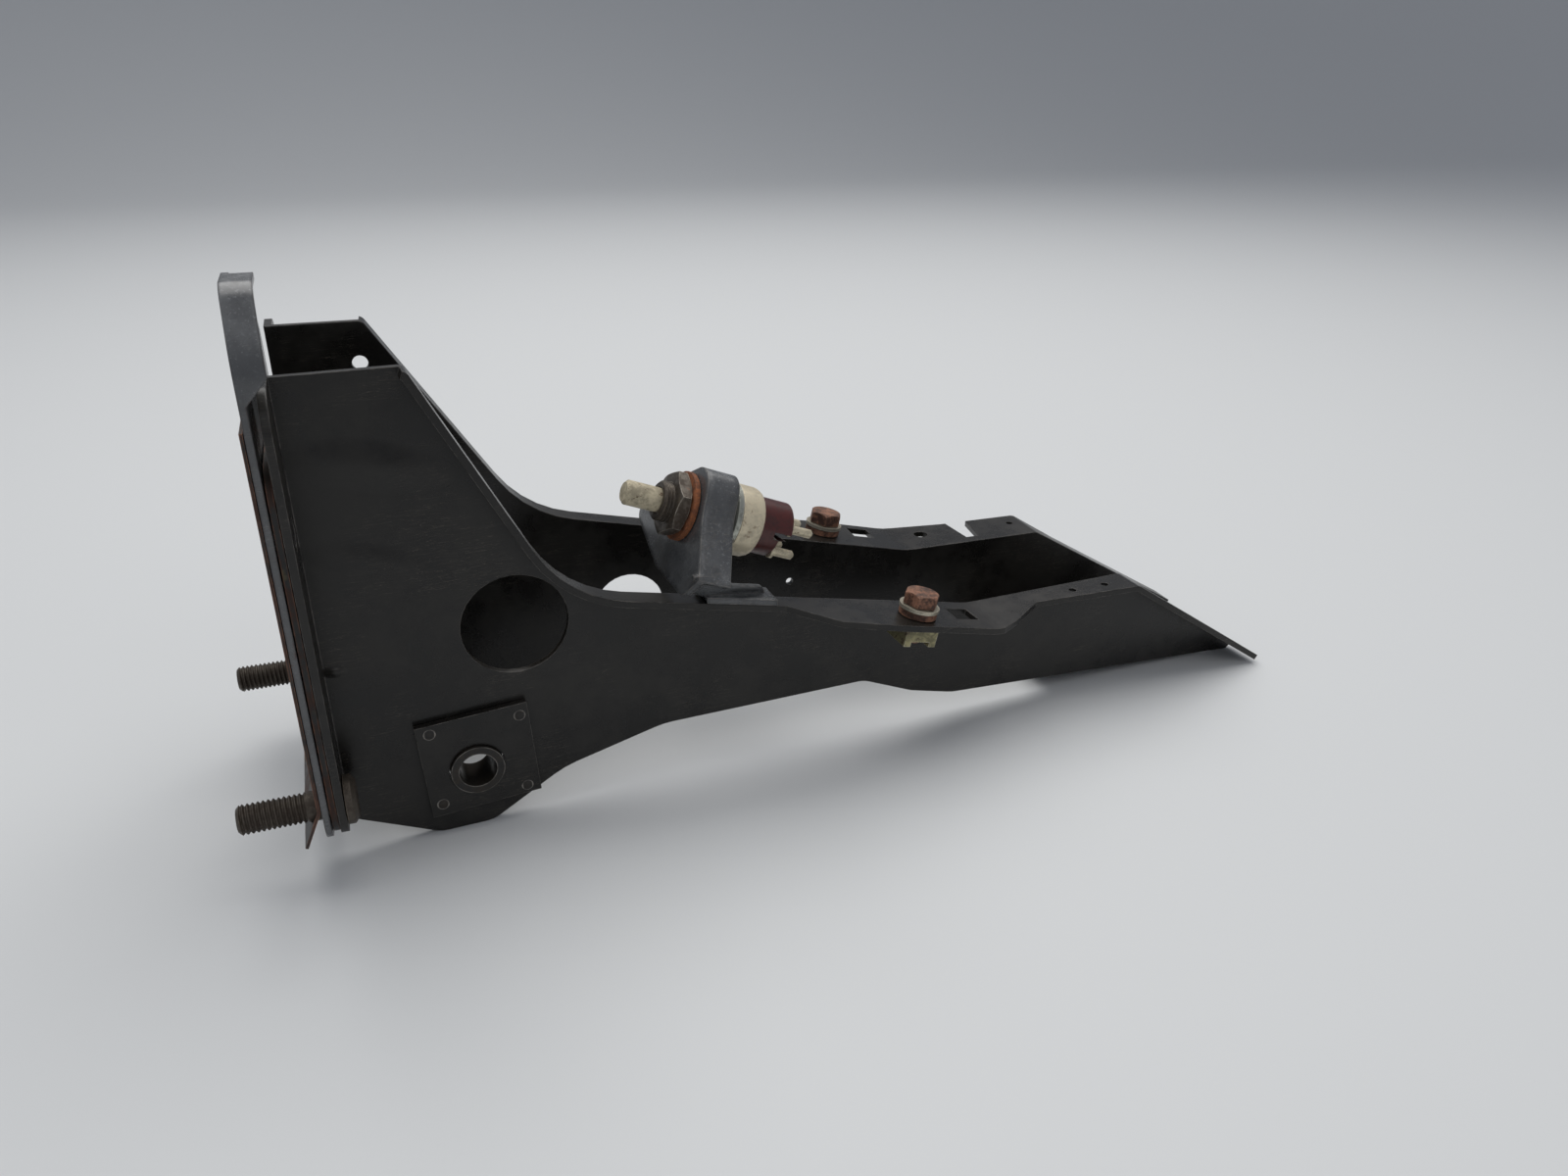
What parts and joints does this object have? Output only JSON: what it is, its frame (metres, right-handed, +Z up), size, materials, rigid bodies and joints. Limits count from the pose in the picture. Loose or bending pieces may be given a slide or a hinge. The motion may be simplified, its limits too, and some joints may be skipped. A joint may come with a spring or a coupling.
{
  "type": "pedal mounting bracket",
  "caption": "Pressed-steel pedal bracket with two tapered side panels, outward flanges, a mounting plate and an adjustable spring-return plunger switch.",
  "frame": {"origin": "middle of the length and width, on the ground line under the lowest edges of the side panels", "axes": "+X from the mounting face to the nose, +Y to the side with the wide flange, +Z up"},
  "size_m": [0.3472, 0.0946, 0.159],
  "materials": {
    "black_paint": "satin black paint with brown edge rust",
    "slate_paint": "worn slate-grey satin paint",
    "dark_steel": "oxidised steel",
    "rusty_steel": "rusted steel",
    "zinc_steel": "dull zinc plating",
    "yellow_zinc": "yellow zinc plating",
    "cream_plastic": "dirty cream plastic",
    "cream_metal": "cream plated can",
    "bakelite": "dark red moulding",
    "brass": "pale brass",
    "spring_steel": "bright spring steel"
  },
  "bodies": {
    "bracket": {"near_side_panel": "black_paint", "near_bearing_plate": "black_paint", "near_pivot_bush": "black_paint", "near_stud": "dark_steel", "near_bolt": "rusty_steel", "near_flat_washer": "zinc_steel", "near_spring_washer": "rusty_steel", "near_cage_nut": "yellow_zinc", "far_side_panel": "black_paint", "far_bearing_plate": "black_paint", "far_pivot_bush": "black_paint", "far_stud": "dark_steel", "far_bolt": "rusty_steel", "far_flat_washer": "zinc_steel", "far_spring_washer": "rusty_steel", "far_cage_nut": "yellow_zinc", "mounting_plate": "black_paint", "doubler_plate": "black_paint", "backing_plate": "zinc_steel", "nose_tie": "black_paint", "switch_holder": "slate_paint", "nut_washer": "rusty_steel"},
    "front_nut": {"front_nut": "dark_steel"},
    "rear_nut": {"rear_nut": "dark_steel"},
    "switch": {"switch_housing": "zinc_steel", "switch_can": "cream_metal", "switch_base": "bakelite", "return_spring": "spring_steel", "near_upper_terminal": "brass", "far_upper_terminal": "brass", "near_lower_terminal": "brass", "far_lower_terminal": "brass"},
    "plunger": {"switch_plunger": "cream_plastic", "contact_bridge": "brass"}
  },
  "joints": [
    {"name": "front_nut_turn", "type": "hinge", "parent": "bracket", "child": "front_nut", "pos_m": [-0.0419, -0.0171, 0.0857], "axis": [0.9266, 0.0324, -0.3746], "range_deg": [-900, 280]},
    {"name": "rear_nut_turn", "type": "hinge", "parent": "bracket", "child": "rear_nut", "pos_m": [-0.0419, -0.0171, 0.0857], "axis": [0.9266, 0.0324, -0.3746], "range_deg": [-180, 180]},
    {"name": "switch_adjust", "type": "slide", "parent": "bracket", "child": "switch", "axis": [0.9266, 0.0324, -0.3746], "range_m": [-0.0012, 0.0038]},
    {"name": "plunger_press", "type": "slide", "parent": "switch", "child": "plunger", "axis": [0.9266, 0.0324, -0.3746], "range_m": [0, 0.006], "stiffness_N_per_m": 400, "springref_m": -0.005, "deforming": ["return_spring"]}
  ],
  "couplings": [
    {"joint": "switch_adjust", "follows": "front_nut_turn", "m_per_rad": -0.00023873}
  ]
}
